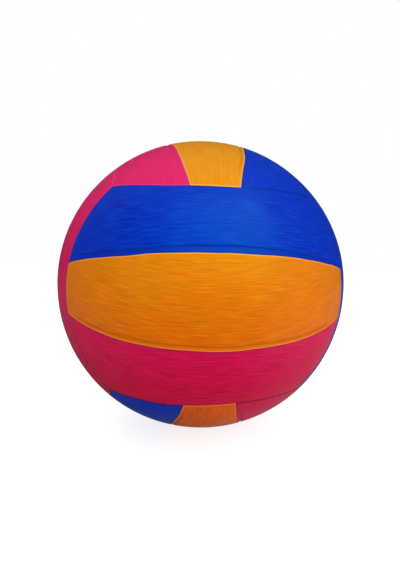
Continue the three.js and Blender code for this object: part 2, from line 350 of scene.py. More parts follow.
# %% Measure from the seams
FACE_FRONT = (0, -1, 0) # the way that a face looks before it is turned to its place
from_seam = {}
for edge in ("Low", "High"):
    tilt_sine = strip(MATH, [given[f"{edge} tilt"]], "SINE")
    tilt_cosine = strip(MATH, [given[f"{edge} tilt"]], "COSINE")
    normal = strip("ShaderNodeCombineXYZ", {"Y": tilt_sine, "Z": tilt_cosine})
    lift = strip(VECTOR_MATH, [face_way, normal], "DOT_PRODUCT", output="Value")
    angle = strip(MATH, [lift], "ARCSINE")
    gap = strip(MATH, [angle, given[f"{edge} level"]], "SUBTRACT")
    gap = strip(MATH, [gap, given["Ball radius"]], "MULTIPLY")
    from_seam[edge] = strip(MATH, [gap], "ABSOLUTE")
depth = strip(VECTOR_MATH, [face_way, FACE_FRONT], "DOT_PRODUCT", output="Value")
end_gap = strip(MATH, [depth, given["End depth"]], "SUBTRACT")
from_end = strip(MATH, [end_gap, given["Ball radius"]], "MULTIPLY")
nearest = strip(MATH, [from_seam["Low"], from_seam["High"]], "MINIMUM")
nearest = strip(MATH, [nearest, from_end], "MINIMUM")
run = strip(MATH, [turn, given["Ball radius"]], "MULTIPLY")
print("measured from", list(from_seam), "seams and the ends")

# %% [markdown]
# ### The wrinkles
# The wrinkles are a noise that is stretched along the strip. Left alone it would look combed, so a slower
# noise first ripples the lines up and down. The middle of its range is spread from 0 in the creases to 1 on
# the ridges. A bump in the material could draw them too, but only real relief stays in the mesh.

# %% Wrinkles
CREASE_FLOOR = 0.3 # noise below this is all crease
RIDGE_TOP = 0.7 # noise above this is all ridge
strip_place = strip("ShaderNodeCombineXYZ", {"X": run, "Y": from_seam["Low"], "Z": given["Seed"]})
slow_place = strip(VECTOR_MATH, [strip_place, given["Ripple length"]], "DIVIDE")
ripple = strip(NOISE, {"Vector": slow_place, "Scale": 1, "Detail": 2})
rippled = strip(MATH, [ripple, given["Ripple size"], from_seam["Low"]], "MULTIPLY_ADD")
lengthwise = strip(MATH, [run, given["Wrinkle length"]], "DIVIDE")
crosswise = strip(MATH, [rippled, given["Wrinkle pitch"]], "DIVIDE")
fine_place = strip("ShaderNodeCombineXYZ", {"X": lengthwise, "Y": crosswise, "Z": given["Seed"]})
wrinkle = strip(NOISE, {"Vector": fine_place, "Scale": 1, "Detail": 2.5})
grain = strip(RANGE, {"Value": wrinkle, "From Min": CREASE_FLOOR, "From Max": RIDGE_TOP})
print("creases lie below", CREASE_FLOOR, "and ridges above", RIDGE_TOP, "of the noise")

# %% [markdown]
# ### The groove
# The mould leaves a groove along some seams. It is a smooth dip with a wall on the seam's side and a far
# wall, and it dies away towards the strip's ends. The margin from the seam to the groove has no wrinkles,
# and the groove's bottom is painted darker, as painted shade. A cutter could carve it, but as part of the
# rule it follows every seam.

# %% Groove
GROOVE_START = 3 # mm from the strip's end, where the groove begins to show
GROOVE_FULL = 19 # mm from the strip's end, where it has its full depth
CALM_GRAIN = 0.5 # the even height of the smooth margin
GROOVE_SHADE = 0.9 # how much darker the groove's bottom is painted than the margin, as painted shade
near_end = strip(MATH, [given["Groove place"], given["Near wall"]], "SUBTRACT")
far_end = strip(MATH, [given["Groove place"], given["Far wall"]], "ADD")
near_wall = {"From Min": near_end, "From Max": given["Groove place"], "To Max": given["Groove depth"]}
far_wall = {"From Min": given["Groove place"], "From Max": far_end, "To Min": 1, "To Max": 0}
dip = strip(RANGE, {"Value": from_seam["Low"], **near_wall}, interpolation_type="SMOOTHSTEP")
kept = strip(RANGE, {"Value": from_seam["Low"], **far_wall}, interpolation_type="SMOOTHSTEP")
dying = {"Value": from_end, "From Min": GROOVE_START * MM, "From Max": GROOVE_FULL * MM}
dying = strip(RANGE, dying, interpolation_type="SMOOTHSTEP")
kept = strip(MATH, [kept, dying], "MULTIPLY")
dip = strip(MATH, [dip, kept], "MULTIPLY")
grooved = strip(MATH, [given["Groove depth"], 0], "GREATER_THAN")
calm = strip(MATH, [kept, grooved], "MULTIPLY")
grain = strip(MIX, {0: calm, 2: grain, 3: CALM_GRAIN})
# Painted shade in the groove: its bottom is pushed towards the crease colour.
groove_shade = strip(MATH, [dip, given["Groove depth"]], "DIVIDE")
grain = strip(MATH, [groove_shade, -GROOVE_SHADE, grain], "MULTIPLY_ADD")
print("the groove has its full depth", GROOVE_FULL, "mm from the strip's ends")

# %% [markdown]
# ### Laid by hand
# The strip is turned from the front of the ball to its own face. Real strips are cut and laid by hand, so
# their joins wander by a fraction of a millimetre. The wander comes from noise in the ball's own space, so
# that neighbouring strips move together and stay joined. In a few places the joins also run off the rule by
# two or three millimetres. Each of these tugs is a short list: a place, how far the rubber is pulled there,
# and how far around it the pull dies away.

# %% Wandering joins
NOISE_MIDDLE = 0.5 # what noise swings about
to_face = strip("FunctionNodeAxesToRotation", [given["Across"], given["Along"]],
                primary_axis="Z", secondary_axis="X")
ball_way = strip("FunctionNodeRotateVector", [face_way, to_face])
ball_place = strip(VECTOR_MATH, {0: ball_way, "Scale": given["Ball radius"]}, "SCALE")
slow_place = strip(VECTOR_MATH, [ball_place, given["Wander length"]], "DIVIDE")
wander = strip(NOISE, {"Vector": slow_place, "Scale": 1, "Detail": 1}, output="Color")
wander = strip(VECTOR_MATH, [wander, [NOISE_MIDDLE] * 3], "SUBTRACT")
wander = strip(VECTOR_MATH, {0: wander, "Scale": given["Wander size"]}, "SCALE")
laid = strip(VECTOR_MATH, [ball_place, wander], "ADD")
print("the strip tree has", len(strip_tree.nodes), "nodes so far")

# %% Tugged joins
TUGS = { # place, pull and reach in mm
    "top, left join": ((-18, -68, 78), (2, 0, 0), 50),
    "top, left join's end": ((-12, -83, 62), (0.9, 0, 0), 24),
    "top, right join's end": ((20, -78, 67), (-1.5, 0, 0), 24),
    "front, top left corner": ((-60, -60, 62), (2.5, 0, 1.9), 45),
    "front, left ends": ((-85, -60, 5), (0, 0, 2.2), 60),
    "front, right ends": ((81, -65, 5), (-2, 0, 1.6), 50),
    "bottom, front edge": ((-30, -80, -61), (0, 0, -2.5), 50),
}
for tug_place, pull, tug_reach in TUGS.values():
    away = strip(VECTOR_MATH, [ball_place, Vector(tug_place) * MM], "DISTANCE", output="Value")
    hold = {"Value": away, "From Max": tug_reach * MM, "To Min": 1, "To Max": 0}
    hold = strip(RANGE, hold, interpolation_type="SMOOTHSTEP")
    pulled = strip(VECTOR_MATH, {0: Vector(pull) * MM, "Scale": hold}, "SCALE")
    laid = strip(VECTOR_MATH, [laid, pulled], "ADD")
laid_way = strip(VECTOR_MATH, [laid], "NORMALIZE")
print("tugs:", list(TUGS))

# %% [markdown]
# ### The height of the skin
# A blown-up ball is never quite round, so a slow noise swells and sinks the skin by a fraction of a
# millimetre, again in the ball's own space. The groove and the wrinkles go down from there. Last, the tree
# stores what the finish reads, moves the grid's points to their places and gives the strip its rubber.

# %% Height of the skin
slow_place = strip(VECTOR_MATH, [ball_place, given["Uneven length"]], "DIVIDE")
uneven = strip(NOISE, {"Vector": slow_place, "Scale": 1, "Detail": 0})
uneven = strip(MATH, [uneven, NOISE_MIDDLE], "SUBTRACT")
surface = strip(MATH, [uneven, given["Unevenness"], given["Ball radius"]], "MULTIPLY_ADD")
surface = strip(MATH, [surface, dip], "SUBTRACT")
sunk = strip(MATH, [grain, 1], "SUBTRACT")
surface = strip(MATH, [sunk, given["Wrinkle height"], surface], "MULTIPLY_ADD")
skin_place = strip(VECTOR_MATH, {0: laid_way, "Scale": surface}, "SCALE")
print("the strip tree has", len(strip_tree.nodes), "nodes so far")

# %% Finish the strip tree
strip_mm = strip("ShaderNodeCombineXYZ", {"X": run, "Y": rippled, "Z": nearest})
strip_mm = strip(VECTOR_MATH, {0: strip_mm, "Scale": 1 / MM}, "SCALE")
stored = {"strip_mm": ("FLOAT_VECTOR", strip_mm), "grain": ("FLOAT", grain), "calm": ("FLOAT", calm)}
shape = grid
for name, (data_type, value) in stored.items():
    shape = strip("GeometryNodeStoreNamedAttribute", {0: shape, "Name": name, "Value": value},
                  data_type=data_type, domain="POINT")
shape = strip("GeometryNodeSetPosition", {0: shape, "Position": skin_place})
shape = strip("GeometryNodeRealizeInstances", [shape])
shape = strip("GeometryNodeSetMaterial", {0: shape, "Material": given["Rubber"]})
strip("NodeGroupOutput", [shape], output=None)
print("the strip tree has", len(strip_tree.nodes), "nodes and stores", list(stored))

# %% [markdown]
# ## Eighteen strips
# Each face names its three strips from the low side to the high side, with their colours. The middle and the
# last strip have the groove beside their low seam. On the last one it is further in, wider and shallower.
# A strip's grid has no thickness, so Solidify gives it the cover's thickness inwards, and a small bevel
# rounds its rim, which draws the fine dark line of a join.

# %% Edges and faces
JOIN_GAP = 0.1 * MM # the strips are vulcanised together, so this is only a hairline
join = JOIN_GAP / 2 / ball_radius
outer_level = math.asin((face_edge - JOIN_GAP / 2) / ball_radius)
STRIP_EDGES = [
    {"Low tilt": 0, "Low level": -outer_level, "High tilt": -seam_tilt, "High level": -join},
    {"Low tilt": -seam_tilt, "Low level": join, "High tilt": seam_tilt, "High level": -join},
    {"Low tilt": seam_tilt, "Low level": join, "High tilt": 0, "High level": outer_level},
]
STRIP_GROOVES = [
    {"Groove place": 0.0, "Near wall": 0.0, "Groove depth": 0.0},
    {"Groove place": 2.1 * MM, "Near wall": 1.3 * MM, "Groove depth": 0.55 * MM},
    {"Groove place": 3.2 * MM, "Near wall": 2.4 * MM, "Groove depth": 0.4 * MM},
]
X, Y, Z = Vector((1, 0, 0)), Vector((0, 1, 0)), Vector((0, 0, 1))
FACES = {
    "front": {"Along": X, "Across": Z, "strips": {"lower": "magenta", "middle": "orange", "upper": "blue"}},
    "back": {"Along": -X, "Across": Z, "strips": {"lower": "blue", "middle": "orange", "upper": "magenta"}},
    "top": {"Along": Y, "Across": -X, "strips": {"right": "blue", "middle": "orange", "left": "magenta"}},
    "bottom": {"Along": Y, "Across": X, "strips": {"left": "blue", "middle": "orange", "right": "magenta"}},
    "left": {"Along": Z, "Across": Y, "strips": {"front": "magenta", "middle": "orange", "rear": "blue"}},
    "right": {"Along": Z, "Across": -Y, "strips": {"rear": "magenta", "middle": "orange", "front": "blue"}},
}
print("faces:", list(FACES))

# %% Sizes of the cover
COVER_SIZES = {
    "Ball radius": ball_radius,
    "End depth": (face_edge + JOIN_GAP / 2) / ball_radius,
    "Rows": 170,
    "Columns": 112,
    "Far wall": 1.1 * MM,
    "Wrinkle pitch": 0.6 * MM,
    "Wrinkle length": 9 * MM,
    "Wrinkle height": 0.045 * MM,
    "Ripple size": 1.6 * MM,
    "Ripple length": 26 * MM,
    "Wander size": 1.6 * MM,
    "Wander length": 26 * MM,
    "Unevenness": 0.5 * MM,
    "Uneven length": 55 * MM,
}
print("a strip has", COVER_SIZES["Rows"], "rows and", COVER_SIZES["Columns"], "columns")

# %% Pieces as plain meshes
SHARP_EDGE = math.radians(40)


def new_piece(name, mesh):
    """An object at the origin that shows a mesh."""
    piece = bpy.data.objects.new(name, mesh)
    bpy.context.scene.collection.objects.link(piece)
    return piece


def follow_rule(piece, tree, sockets, sizes):
    """Gives the piece a Geometry Nodes tree with its inputs set."""
    rule = piece.modifiers.new(tree.name, "NODES")
    rule.node_group = tree
    for size, value in sizes.items():
        rule[sockets[size]] = value


def plain_mesh(piece):
    """Turns the piece's modifiers into a plain mesh with the edges of its rim kept sharp."""
    depsgraph = bpy.context.evaluated_depsgraph_get()
    made = bpy.data.meshes.new_from_object(piece.evaluated_get(depsgraph), preserve_all_data_layers=True,
                                           depsgraph=depsgraph)
    made.name = piece.name
    made.shade_smooth()
    made.set_sharp_from_angle(angle=SHARP_EDGE)
    piece.modifiers.clear()
    piece.data = made


def register(piece, node_name, body):
    """Hides the solid that the piece stands for, and attaches the piece to what it moves with."""
    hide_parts(node_name)
    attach(piece, body)


print(f"edges sharper than {math.degrees(SHARP_EDGE):.0f} degrees stay sharp")

# %% Make the cover
RIM_ROUNDING = 0.25 * MM
RIM_SEGMENTS = 2
RIM_ANGLE = math.radians(60) # only edges sharper than this are rounded
SEED_STEP = 7.3 # far enough apart for the noise of two strips to differ


def cover_strip(name, sizes):
    """One strip of the cover, from the strip tree."""
    piece = new_piece(name, bpy.data.meshes.new(name))
    follow_rule(piece, strip_tree, strip_sockets, sizes)
    wall = piece.modifiers.new("wall", "SOLIDIFY")
    wall.thickness = cover_thickness
    wall.offset = -1
    rim = piece.modifiers.new("rim", "BEVEL")
    rim.width = RIM_ROUNDING
    rim.segments = RIM_SEGMENTS
    rim.angle_limit = RIM_ANGLE
    plain_mesh(piece)
    return piece


cover = {}
for face, facts in FACES.items():
    for number, (place, colour) in enumerate(facts["strips"].items()):
        slot_name = f"{colour}_rubber"
        sizes = {**COVER_SIZES, **STRIP_EDGES[number], **STRIP_GROOVES[number]}
        sizes["Along"] = facts["Along"]
        sizes["Across"] = facts["Across"]
        sizes["Seed"] = SEED_STEP * (len(cover) + 1)
        sizes["Rubber"] = COVER_FINISHES[slot_name]
        node_name = f"{face}_{place}_panel"
        cover[node_name] = cover_strip(f"{face}_{place}_strip", sizes)
        register(cover[node_name], node_name, "ball")
faces_made = sum(len(panel.data.polygons) for panel in cover.values())
print(len(cover), "strips,", faces_made, "faces")

# %% [markdown]
# ## Dark rubber
# The valve, the carcass and the bladder are rubber too, filled with soot or chalk instead of a bright
# pigment. That gives the eye a dull dark surface with a fine mineral grain, and pale clouds of the talc that
# keeps raw rubber from sticking. The four could be set up one by one, but they differ only in a few values,
# so one function makes them all from Object coordinates.

# %% Finishes of the inner pieces
TALC_CLOUD = 9 # mm
TALC_DUST = {"From Min": 0.45, "From Max": 0.8, "To Max": 0.4} # how much talc lies on the clouds
GRAIN_BUMP = 0.05 # mm
BUMP_STRENGTH = 0.5
ROUGHNESS_SPREAD = 0.1 # how far the grain moves the roughness
RUBBER_IOR = 1.52


def filled_rubber(name, colour, talc, grain_size, roughness):
    """Rubber with a mineral filler: its colour, the colour of the talc on it and its grain in mm."""
    material, node = new_material(name)
    place = node("ShaderNodeTexCoord", output="Object")
    clouds = node(NOISE, {"Vector": place, "Scale": 1 / (TALC_CLOUD * MM), "Detail": 4})
    dust = node(RANGE, {"Value": clouds, **TALC_DUST})
    grit = node(NOISE, {"Vector": place, "Scale": 1 / (grain_size * MM), "Detail": 2})
    skin = node(MIX, {0: dust, 6: linear(colour), 7: linear(talc)}, **BLEND)
    rough = {"To Min": roughness - ROUGHNESS_SPREAD, "To Max": roughness + ROUGHNESS_SPREAD}
    rough = node(RANGE, {"Value": grit, **rough})
    bump = {"Height": grit, "Strength": BUMP_STRENGTH, "Distance": GRAIN_BUMP * MM}
    patterned = {"Base Color": skin, "Roughness": rough, "Normal": node("ShaderNodeBump", bump)}
    rubber = node("ShaderNodeBsdfPrincipled", {**patterned, "IOR": RUBBER_IOR})
    node("ShaderNodeOutputMaterial", {"Surface": rubber}, output=None)
    return material


INNER_FINISHES = {
    "valve_rubber": filled_rubber("black valve rubber", "#1E1E20", "#3A3A3C", 0.5, 0.55),
    "plug_rubber": filled_rubber("grey plug rubber", "#545559", "#7A7B7E", 0.4, 0.5),
    "carcass_rubber": filled_rubber("calendered carcass rubber", "#262628", "#8A877F", 0.7, 0.75),
    "butyl_rubber": filled_rubber("butyl rubber", "#161618", "#6E6C66", 0.9, 0.55),
}
print("inner finishes:", [material.name for material in INNER_FINISHES.values()])

# %% [markdown]
# ## Turned pieces
# The housing, the plug and the layers are all round about the valve's axis. Half of the section, spun about
# that axis, makes each of them. The corners of a section are listed with their roundings, because no
# moulded rubber has a sharp edge, and a ball's curve is an arc with a formula.

# %% Outlines
CORNER_STEPS = 5


def arc(ball, start, end, steps):
    """Points of a ball's outline in mm, between two angles from the valve's axis, with no rounding."""
    angles = [start + (end - start) * step / steps for step in range(steps + 1)]
    return [(ball * math.sin(angle), ball * math.cos(angle), 0) for angle in angles]


def rounded(corners):
    """The outline through corners that are given as radius, height and rounding in mm."""
    outline = []
    for number, (radius, height, rounding) in enumerate(corners):
        corner = Vector((radius, height))
        before = Vector(corners[number - 1][:2])
        after = Vector(corners[(number + 1) % len(corners)][:2])
        start = corner + (before - corner).normalized() * rounding
        end = corner + (after - corner).normalized() * rounding
        steps = CORNER_STEPS if rounding else 0
        for step in range(steps + 1):
            share = step / CORNER_STEPS
            outline.append(start.lerp(corner, share).lerp(corner.lerp(end, share), share))
    return outline


print("a rounded corner has", CORNER_STEPS, "steps")

# %% Turning
TURN_STEPS = 96
MERGE_DISTANCE = 0.01 * MM # closes the seam where the turn ends, and is finer than any edge


def turned(name, corners, material):
    """A closed piece whose outline is turned about the valve's axis."""
    shape = bmesh.new()
    rim = [shape.verts.new((radius * MM, height * MM, 0)) for radius, height in rounded(corners)]
    on_axis = corners[0][0] == corners[-1][0] == 0
    following = rim[1:] if on_axis else rim[1:] + rim[:1]
    edges = [shape.edges.new(pair) for pair in zip(rim, following)]
    bmesh.ops.spin(shape, geom=rim + edges, cent=(0, 0, 0), axis=Y, angle=2 * math.pi, steps=TURN_STEPS)
    bmesh.ops.remove_doubles(shape, verts=shape.verts, dist=MERGE_DISTANCE)
    bmesh.ops.recalc_face_normals(shape, faces=shape.faces)
    mesh = bpy.data.meshes.new(name)
    shape.to_mesh(mesh)
    shape.free()
    mesh.materials.append(material)
    piece = new_piece(name, mesh)
    plain_mesh(piece)
    return piece


print("a turned piece has", TURN_STEPS, "steps round")

# %% [markdown]
# ## The valve
# The housing is a rubber neck with a wide flange, bonded inside the bladder. The plug is pushed into it, and
# its funnel leads the needle into the channel. The heights and the widths come from the construction's
# solids. The clearances here are tighter than there, because soft rubber fits without a gap.

# %% Measure the valve
FLANGE_RIM = 0.95 # the share of the flange's radius past which a corner of the solid is on its rim
housing_low, housing_high = (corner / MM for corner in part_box("valve_housing"))
plug_low, plug_high = (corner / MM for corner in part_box("valve_plug"))
rim_reaches = [corner.co.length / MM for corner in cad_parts["valve_housing"].data.vertices
               if math.hypot(corner.co.x, corner.co.z) / MM > FLANGE_RIM * housing_high.x]
flange_top = max(rim_reaches)
flange_underside = min(rim_reaches)
hole_radius = min(math.hypot(corner.co.x, corner.co.z) / MM
                  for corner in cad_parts["carcass"].data.vertices if corner.co.y > 0)
print(f"mouth at {housing_high.y:.2f} mm, plug face at {plug_high.y:.2f} mm, hole {hole_radius:.2f} mm,",
      f"flange {flange_underside:.2f} to {flange_top:.2f} mm from the centre")

# %% The housing
NECK_FIT = 0.1 # mm between the neck and the hole in the cover
HEAD_FIT = 0.12 # mm around the plug's head
SHANK = 2.5 # mm, radius of the plug below its head
SHANK_FIT = 0.3 # mm around the shank
HEAD_THICKNESS = 1.8 # mm
BOSS_WALL = 2 # mm
FLANGE_STEPS = 4
neck = hole_radius - NECK_FIT
socket = plug_high.x + HEAD_FIT
socket_floor = plug_high.y - HEAD_THICKNESS - SHANK_FIT
bore = SHANK + SHANK_FIT
boss = bore + BOSS_WALL
rim_angle = math.asin(housing_high.x / flange_top)
housing = turned("valve_body", [
    (bore, housing_low.y, 0.5),
    (boss, housing_low.y, 0.8),
    *arc(flange_underside, math.asin(boss / flange_underside), rim_angle, FLANGE_STEPS),
    *arc(flange_top, rim_angle, math.asin(neck / flange_top), FLANGE_STEPS),
    (neck, housing_high.y, 0.55),
    (socket, housing_high.y, 0.4),
    (socket, socket_floor, 0.3),
    (bore, socket_floor, 0.3),
], INNER_FINISHES["valve_rubber"])
register(housing, "valve_housing", "ball")
print("the housing has", len(housing.data.polygons), "faces")

# %% The plug
CHANNEL = 0.9 # mm, radius of the needle channel
CHANNEL_DEPTH = 11 # mm
FUNNEL = 1.9 # mm, radius of the funnel that leads the needle in
FUNNEL_DEPTH = 1.3 # mm
TIP = 1.6 # mm, radius of the plug's end
TIP_LENGTH = 2.5 # mm
RIB = 0.2 # mm, how far the ribs stand out of the shank
RIB_SPREAD = 0.7 # mm, half the width of a rib
RIB_HEIGHTS = [92, 95, 98] # mm from the ball's centre
ribs = []
for height in RIB_HEIGHTS:
    ribs += [(SHANK, height - RIB_SPREAD, 0.2), (SHANK + RIB, height, 0.2), (SHANK, height + RIB_SPREAD, 0.2)]
plug = turned("valve_core", [
    (0, plug_low.y, 0),
    (TIP, plug_low.y, 0.5),
    (SHANK, plug_low.y + TIP_LENGTH, 0.5),
    *ribs,
    (SHANK, plug_high.y - HEAD_THICKNESS, 0.3),
    (plug_high.x, plug_high.y - HEAD_THICKNESS, 0.3),
    (plug_high.x, plug_high.y, 0.5),
    (FUNNEL, plug_high.y, 0.35),
    (CHANNEL, plug_high.y - FUNNEL_DEPTH, 0.5),
    (CHANNEL, plug_high.y - CHANNEL_DEPTH, 0),
    (0, plug_high.y - CHANNEL_DEPTH, 0),
], INNER_FINISHES["plug_rubber"])
register(plug, "valve_plug", "plug")
print("the plug has", len(plug.data.polygons), "faces")

# %% [markdown]
# ### The hole in the cover
# The valve's strip is cut with a Boolean. Its cutter is the shape of the missing rubber, which is narrow at
# the bottom and widens in a quarter round at the top, so that the hole gets a rounded lip. The lip has to
# end level with the skin, which wanders a little, so the skin's height is measured around the hole first.

# %% Cut the hole
LIP = 1.2 # mm
LIP_STEPS = 8
CUT_BELOW = 6 # mm, how far the cutter reaches below and above the skin
valve_strip = cover["back_middle_panel"]
lip_edge = hole_radius + LIP
skin_heights = [corner.co.y / MM for corner in valve_strip.data.vertices
                if abs(math.hypot(corner.co.x, corner.co.z) / MM - lip_edge) < LIP / 2 and corner.co.y > 0]
skin_height = max(skin_heights)
lip_centre = skin_height - LIP
quarter = [math.pi / 2 * step / LIP_STEPS for step in range(LIP_STEPS + 1)]
lip = [(lip_edge - LIP * math.cos(angle), lip_centre + LIP * math.sin(angle), 0) for angle in quarter]
cutter = turned("hole cutter", [
    (0, skin_height - CUT_BELOW, 0),
    (hole_radius, skin_height - CUT_BELOW, 0),
    *lip,
    (lip_edge, skin_height + CUT_BELOW, 0),
    (0, skin_height + CUT_BELOW, 0),
], COVER_FINISHES["orange_rubber"])
cut = valve_strip.modifiers.new("hole", "BOOLEAN")
cut.object = cutter
cut.solver = "EXACT"
plain_mesh(valve_strip)
bpy.data.objects.remove(cutter)
print(f"the skin around the valve lies at {skin_height:.2f} mm, the strip has",
      len(valve_strip.data.polygons), "faces")

# %% [markdown]
# ## The layers below the cover
# The carcass is a thin rubber sheet that the strips are vulcanised to, and the bladder is the air bag inside
# it. Each is a closed shell with a hole for the valve's neck. A sphere with a Boolean hole would do as well,
# but a section that is turned needs no cutting, because the hole is where the outline stops.

# %% Carcass and bladder
SHELL_STEPS = 72
LAYERS = { # thickness in mm
    "carcass": {"piece": "carcass_layer", "thickness": 0.5, "slot": "carcass_rubber"},
    "bladder": {"piece": "air_bag", "thickness": 0.6, "slot": "butyl_rubber"},
}
for node_name, facts in LAYERS.items():
    outside = max(corner.co.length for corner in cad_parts[node_name].data.vertices) / MM
    inside = outside - facts["thickness"]
    outline = arc(outside, math.pi, math.asin(hole_radius / outside), SHELL_STEPS)
    outline += arc(inside, math.asin(hole_radius / inside), math.pi, SHELL_STEPS)
    layer = turned(facts["piece"], [(0, -outside, 0), *outline[1:-1], (0, -inside, 0)],
                   INNER_FINISHES[facts["slot"]])
    register(layer, node_name, "ball")
    print(node_name, f"is {outside:.2f} mm outside, with", len(layer.data.polygons), "faces")

# %% [markdown]
# ## The thread winding
# Between the carcass and the bladder, one nylon thread is wound round and round by a machine, which turns the
# ball a little with every turn. That keeps the ball round under pressure. Drawn by hand it would take hours,
# but each point follows from its number, so a second Geometry Nodes tree makes it. A turn is nearly a great
# circle. Its lean goes from close to the valve's neck, which it never crosses, to the ball's waist.

# %% The thread's path
THREAD_INPUTS = {
    "NodeSocketInt": ["Points", "Points in a turn"],
    "NodeSocketFloat": ["Winding radius", "Thread radius", "Nearest pass", "Creep"],
    "NodeSocketMaterial": ["Nylon"],
}
thread_tree, thread_sockets = new_tree("thread winding", THREAD_INPUTS)
wind = partial(add_node, thread_tree)
given = wind("NodeGroupInput", output=None)
line = wind("GeometryNodeMeshLine", {"Count": given["Points"]})
number = wind("GeometryNodeInputIndex")
turns = wind(MATH, [number, given["Points in a turn"]], "DIVIDE")
angle = wind(MATH, [turns, 2 * math.pi], "MULTIPLY")
forward = wind(MATH, [angle], "COSINE")
sideways = wind(MATH, [angle], "SINE")
circle = wind("ShaderNodeCombineXYZ", {"X": forward, "Z": sideways})
passing = {"Value": number, "From Max": given["Points"], "To Min": given["Nearest pass"], "To Max": 1}
lean = wind(MATH, [wind(RANGE, passing)], "ARCCOSINE")
leaning = wind("ShaderNodeVectorRotate", {"Vector": circle, "Angle": lean}, rotation_type="Z_AXIS")
creep = wind(MATH, [angle, given["Creep"]], "MULTIPLY")
way = wind("ShaderNodeVectorRotate", {"Vector": leaning, "Angle": creep}, rotation_type="Y_AXIS")
place = wind(VECTOR_MATH, {0: way, "Scale": given["Winding radius"]}, "SCALE")
print("the thread tree has", len(thread_tree.nodes), "nodes so far")

# %% Finish the thread tree
THREAD_SIDES = 4 # enough for a thread that is half a millimetre thick
run = wind(MATH, [angle, given["Winding radius"]], "MULTIPLY")
run_mm = wind(MATH, [run, 1 / MM], "MULTIPLY")
shape = wind("GeometryNodeStoreNamedAttribute", {0: line, "Name": "thread_mm", "Value": run_mm},
             data_type="FLOAT", domain="POINT")
shape = wind("GeometryNodeSetPosition", {0: shape, "Position": place})
shape = wind("GeometryNodeMeshToCurve", [shape])
section = {"Resolution": THREAD_SIDES, "Radius": given["Thread radius"]}
section = wind("GeometryNodeCurvePrimitiveCircle", section)
shape = wind("GeometryNodeCurveToMesh", {"Curve": shape, "Profile Curve": section, "Fill Caps": True})
shape = wind("GeometryNodeRealizeInstances", [shape])
shape = wind("GeometryNodeSetMaterial", {0: shape, "Material": given["Nylon"]})
wind("NodeGroupOutput", [shape], output=None)
print("the thread tree has", len(thread_tree.nodes), "nodes")

# %% [markdown]
# ### Nylon thread
# The thread is twisted from fine filaments. That gives the eye an off-white line with darker bands across
# it, which are painted shade of the twist, and a silky shine. The bands follow the length along the thread,
# which the tree stores with its points.

# %% Nylon
TWIST = 1.1 # mm along the thread for one band
SILKY = {"Roughness": 0.4, "IOR": 1.53}
nylon, node = new_material("twisted nylon thread")
along = node("ShaderNodeAttribute", output="Fac", attribute_name="thread_mm")
# Painted shade of the twist, as darker bands along the thread.
painted_twist_shade = node(MATH, [along, TWIST], "PINGPONG")
silk = node(MIX, {0: painted_twist_shade, 6: linear("#E4DFD2"), 7: linear("#B9B2A2")}, **BLEND)
fibre = node("ShaderNodeBsdfPrincipled", {"Base Color": silk, **SILKY})
node("ShaderNodeOutputMaterial", {"Surface": fibre}, output=None)
print("thread finish:", nylon.name)

# %% Wind the thread
THREAD_RADIUS = 0.22 # mm
NECK_CLEARANCE = 0.8 # mm between the thread and the hole for the valve's neck
TURNS = 100
POINTS_IN_A_TURN = 96
CREEP = 0.077 # how far the ball turns on with every turn of the thread, as a share of that turn
winding_outside = max(corner.co.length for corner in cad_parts["thread_winding"].data.vertices) / MM
winding_radius = winding_outside - THREAD_RADIUS
winding = new_piece("thread_layer", bpy.data.meshes.new("thread_layer"))
follow_rule(winding, thread_tree, thread_sockets, {
    "Points": TURNS * POINTS_IN_A_TURN,
    "Points in a turn": POINTS_IN_A_TURN,
    "Winding radius": winding_radius * MM,
    "Thread radius": THREAD_RADIUS * MM,
    "Nearest pass": (hole_radius + NECK_CLEARANCE) / winding_radius,
    "Creep": CREEP,
    "Nylon": nylon,
})
plain_mesh(winding)
register(winding, "thread_winding", "ball")
passes = [math.hypot(corner.co.x, corner.co.z) for corner in winding.data.vertices if corner.co.y > 0]
print(f"the thread passes the valve's axis at {min(passes) / MM:.2f} mm and has",
      len(winding.data.polygons), "faces")

# %% [markdown]
# ## The camera
# The photograph was taken close to the ball, a little to the left of the front face and above the middle,
# with a wide lens. These values could be set by eye, but here the seams and the outline in the picture were
# fitted, which is good to about a pixel.

# %% Camera
CAMERA_DISTANCE = 280.3 * MM
CAMERA_TO_LEFT = math.radians(4.39)
CAMERA_ABOVE = math.radians(5.22)
CAMERA_ROLL = math.radians(1.21)
PICTURE_HEIGHT = 36 # mm, on the sensor
LENS = 22.39 # mm
NEAREST_SEEN = 10 * MM
AIM = Vector((-0.3, 0, -0.5)) * MM # the point that the camera looks at
back_way = Vector((-math.sin(CAMERA_TO_LEFT) * math.cos(CAMERA_ABOVE),
                   -math.cos(CAMERA_TO_LEFT) * math.cos(CAMERA_ABOVE), math.sin(CAMERA_ABOVE)))
camera_data = bpy.data.cameras.new("camera")
camera_data.sensor_fit = "VERTICAL"
camera_data.sensor_height = PICTURE_HEIGHT
camera_data.lens = LENS
camera_data.clip_start = NEAREST_SEEN
camera = bpy.data.objects.new("camera", camera_data)
camera.location = AIM + back_way * CAMERA_DISTANCE
camera.rotation_mode = "QUATERNION"
camera.rotation_quaternion = (-back_way).to_track_quat("-Z", "Y") @ Quaternion((0, 0, 1), CAMERA_ROLL)
bpy.context.scene.collection.objects.link(camera)
bpy.context.scene.camera = camera
print("camera at", [round(value, 4) for value in camera.location])

# %% [markdown]
# ## A white studio
# The picture's background is plain white, so the camera sees the world as white. As a light it is softer. On
# satin rubber a white room would lie like a grey veil, so shiny surfaces mirror a dim studio instead, which
# is brighter only straight behind the ball. That keeps the colours deep.

# %% World
bpy.context.scene.view_settings.view_transform = "Standard"
WORLD_LIGHT = 0.5
